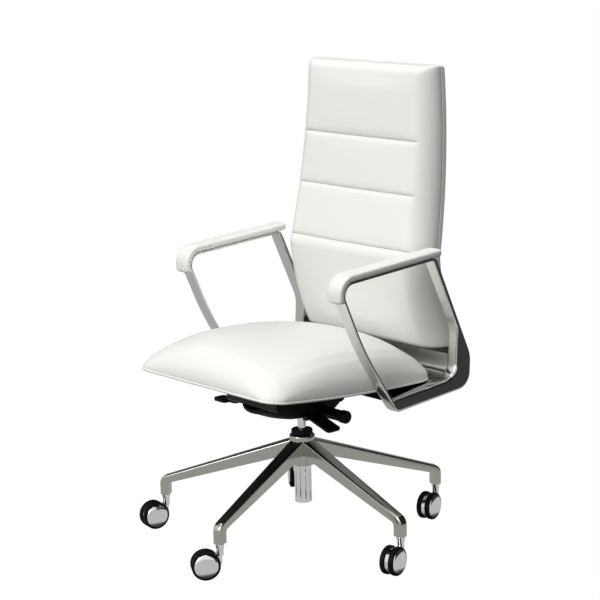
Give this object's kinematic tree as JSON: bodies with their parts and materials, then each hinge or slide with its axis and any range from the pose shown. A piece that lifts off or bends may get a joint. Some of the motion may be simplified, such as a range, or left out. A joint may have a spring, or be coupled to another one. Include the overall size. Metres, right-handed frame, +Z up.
{
  "type": "swivel office chair",
  "caption": "High-back swivel office chair with channelled white leather back, crowned seat, polished arm loops with leather pads, gas lift, tilt mechanism and star base on twin-wheel castors.",
  "frame": {"origin": "on the floor under the swivel axis of the base", "axes": "+Z up along the swivel axis, -Y the way the sitter faces, +X the sitter's left"},
  "size_m": [0.6978, 0.7226, 1.089],
  "materials": {
    "white_leather": "smooth",
    "polished_aluminium": "polished",
    "chrome": "mirror polished",
    "black_plastic": "fine texture",
    "black_metal": "powder coat",
    "steel": "bright",
    "wheel_black": "semi gloss",
    "spring_rubber": "matt",
    "plywood": "raw"
  },
  "bodies": {
    "base": {"star_base": "polished_aluminium", "column_tube": "chrome", "guide_bush": "black_plastic", "thrust_bearing": "steel", "castor_stems": "steel"},
    "rod": {"piston_rod": "steel", "rod_clip": "steel"},
    "chassis": {"gas_cylinder": "chrome", "mechanism_housing": "black_metal", "mechanism_cover": "black_plastic", "tilt_axle": "steel", "tilt_spring": "spring_rubber", "seat_pivot_pin": "steel"},
    "valve": {"valve_pin": "steel"},
    "lift_lever": {"height_lever": "black_plastic"},
    "tilt_lock": {"lock_lever": "black_plastic"},
    "tension_grip": {"tension_handle": "black_plastic"},
    "seat": {"seat_plate": "black_metal", "seat_pan": "plywood", "seat_cushion": "white_leather", "seat_bolts": "steel"},
    "back": {"back_yoke": "polished_aluminium", "arm_studs": "steel", "arm_frame_left": "polished_aluminium", "arm_frame_right": "polished_aluminium", "arm_pad_left": "white_leather", "arm_pad_right": "white_leather", "back_shell": "white_leather", "back_cushion": "white_leather", "back_bolts": "steel"},
    "castor_1": {"castor_fork_1": "chrome", "castor_axle_1": "steel"},
    "wheel_left_1": {"castor_wheel_left_1": "wheel_black", "castor_cap_left_1": "chrome"},
    "wheel_right_1": {"castor_wheel_right_1": "wheel_black", "castor_cap_right_1": "chrome"},
    "castor_2": {"castor_fork_2": "chrome", "castor_axle_2": "steel"},
    "wheel_left_2": {"castor_wheel_left_2": "wheel_black", "castor_cap_left_2": "chrome"},
    "wheel_right_2": {"castor_wheel_right_2": "wheel_black", "castor_cap_right_2": "chrome"},
    "castor_3": {"castor_fork_3": "chrome", "castor_axle_3": "steel"},
    "wheel_left_3": {"castor_wheel_left_3": "wheel_black", "castor_cap_left_3": "chrome"},
    "wheel_right_3": {"castor_wheel_right_3": "wheel_black", "castor_cap_right_3": "chrome"},
    "castor_4": {"castor_fork_4": "chrome", "castor_axle_4": "steel"},
    "wheel_left_4": {"castor_wheel_left_4": "wheel_black", "castor_cap_left_4": "chrome"},
    "wheel_right_4": {"castor_wheel_right_4": "wheel_black", "castor_cap_right_4": "chrome"},
    "castor_5": {"castor_fork_5": "chrome", "castor_axle_5": "steel"},
    "wheel_left_5": {"castor_wheel_left_5": "wheel_black", "castor_cap_left_5": "chrome"},
    "wheel_right_5": {"castor_wheel_right_5": "wheel_black", "castor_cap_right_5": "chrome"}
  },
  "joints": [
    {"name": "castor_swivel_1", "type": "hinge", "parent": "base", "child": "castor_1", "pos_m": [0.11796, 0.31888, 0.0325], "axis": [0, 0, 1], "continuous": true},
    {"name": "wheel_spin_left_1", "type": "hinge", "parent": "castor_1", "child": "wheel_left_1", "pos_m": [0.1265, 0.28701, 0.0325], "axis": [0.9659, 0.2588, 0], "continuous": true},
    {"name": "wheel_spin_right_1", "type": "hinge", "parent": "castor_1", "child": "wheel_right_1", "pos_m": [0.1265, 0.28701, 0.0325], "axis": [0.9659, 0.2588, 0], "continuous": true},
    {"name": "castor_swivel_2", "type": "hinge", "parent": "base", "child": "castor_2", "pos_m": [-0.26682, 0.21072, 0.0325], "axis": [0, 0, 1], "continuous": true},
    {"name": "wheel_spin_left_2", "type": "hinge", "parent": "castor_2", "child": "wheel_left_2", "pos_m": [-0.2921, 0.23194, 0.0325], "axis": [-0.6428, -0.766, 0], "continuous": true},
    {"name": "wheel_spin_right_2", "type": "hinge", "parent": "castor_2", "child": "wheel_right_2", "pos_m": [-0.2921, 0.23194, 0.0325], "axis": [-0.6428, -0.766, 0], "continuous": true},
    {"name": "castor_swivel_3", "type": "hinge", "parent": "base", "child": "castor_3", "pos_m": [-0.28286, -0.18865, 0.0325], "axis": [0, 0, 1], "continuous": true},
    {"name": "wheel_spin_left_3", "type": "hinge", "parent": "castor_3", "child": "wheel_left_3", "pos_m": [-0.28916, -0.22104, 0.0325], "axis": [0.9816, -0.1908, 0], "continuous": true},
    {"name": "wheel_spin_right_3", "type": "hinge", "parent": "castor_3", "child": "wheel_right_3", "pos_m": [-0.28916, -0.22104, 0.0325], "axis": [0.9816, -0.1908, 0], "continuous": true},
    {"name": "castor_swivel_4", "type": "hinge", "parent": "base", "child": "castor_4", "pos_m": [0.092, -0.32732, 0.0325], "axis": [0, 0, 1], "continuous": true},
    {"name": "wheel_spin_left_4", "type": "hinge", "parent": "castor_4", "child": "wheel_left_4", "pos_m": [0.07501, -0.3556, 0.0325], "axis": [0.8572, -0.515, 0], "continuous": true},
    {"name": "wheel_spin_right_4", "type": "hinge", "parent": "castor_4", "child": "wheel_right_4", "pos_m": [0.07501, -0.3556, 0.0325], "axis": [0.8572, -0.515, 0], "continuous": true},
    {"name": "castor_swivel_5", "type": "hinge", "parent": "base", "child": "castor_5", "pos_m": [0.33973, -0.01364, 0.0325], "axis": [0, 0, 1], "continuous": true},
    {"name": "wheel_spin_left_5", "type": "hinge", "parent": "castor_5", "child": "wheel_left_5", "pos_m": [0.34771, -0.04566, 0.0325], "axis": [0.9703, 0.2419, 0], "continuous": true},
    {"name": "wheel_spin_right_5", "type": "hinge", "parent": "castor_5", "child": "wheel_right_5", "pos_m": [0.34771, -0.04566, 0.0325], "axis": [0.9703, 0.2419, 0], "continuous": true},
    {"name": "seat_swivel", "type": "hinge", "parent": "base", "child": "rod", "pos_m": [0, 0, 0.281], "axis": [0, 0, 1], "continuous": true},
    {"name": "seat_lift", "type": "slide", "parent": "rod", "child": "chassis", "axis": [0, 0, 1], "range_m": [-0.015, 0.085]},
    {"name": "back_tilt", "type": "hinge", "parent": "chassis", "child": "back", "pos_m": [0, 0.024, 0.349], "axis": [-1, 0, 0], "range_deg": [0, 18], "stiffness_Nm_per_rad": 60, "springref_deg": -28.65},
    {"name": "seat_tilt", "type": "hinge", "parent": "chassis", "child": "seat", "pos_m": [0, -0.1, 0.359], "axis": [-1, 0, 0], "range_deg": [0, 7.3]},
    {"name": "height_lever_pull", "type": "hinge", "parent": "chassis", "child": "lift_lever", "pos_m": [-0.076, 0, 0.343], "axis": [0, 1, 0], "range_deg": [0, 3], "stiffness_Nm_per_rad": 20, "springref_deg": -1.72},
    {"name": "valve_press", "type": "slide", "parent": "chassis", "child": "valve", "axis": [0, 0, 1], "range_m": [-0.005, 0]},
    {"name": "lock_lever_flip", "type": "hinge", "parent": "chassis", "child": "tilt_lock", "pos_m": [0.0944, -0.046, 0.314], "axis": [0, -1, 0], "range_deg": [-12, 8]},
    {"name": "tension_turn", "type": "hinge", "parent": "chassis", "child": "tension_grip", "pos_m": [0.088, -0.004, 0.314], "axis": [1, 0, 0], "range_deg": [0, 720]}
  ],
  "couplings": [
    {"joint": "seat_tilt", "follows": "back_tilt", "ratio": 0.4},
    {"joint": "valve_press", "follows": "height_lever_pull", "m_per_rad": -0.076}
  ]
}
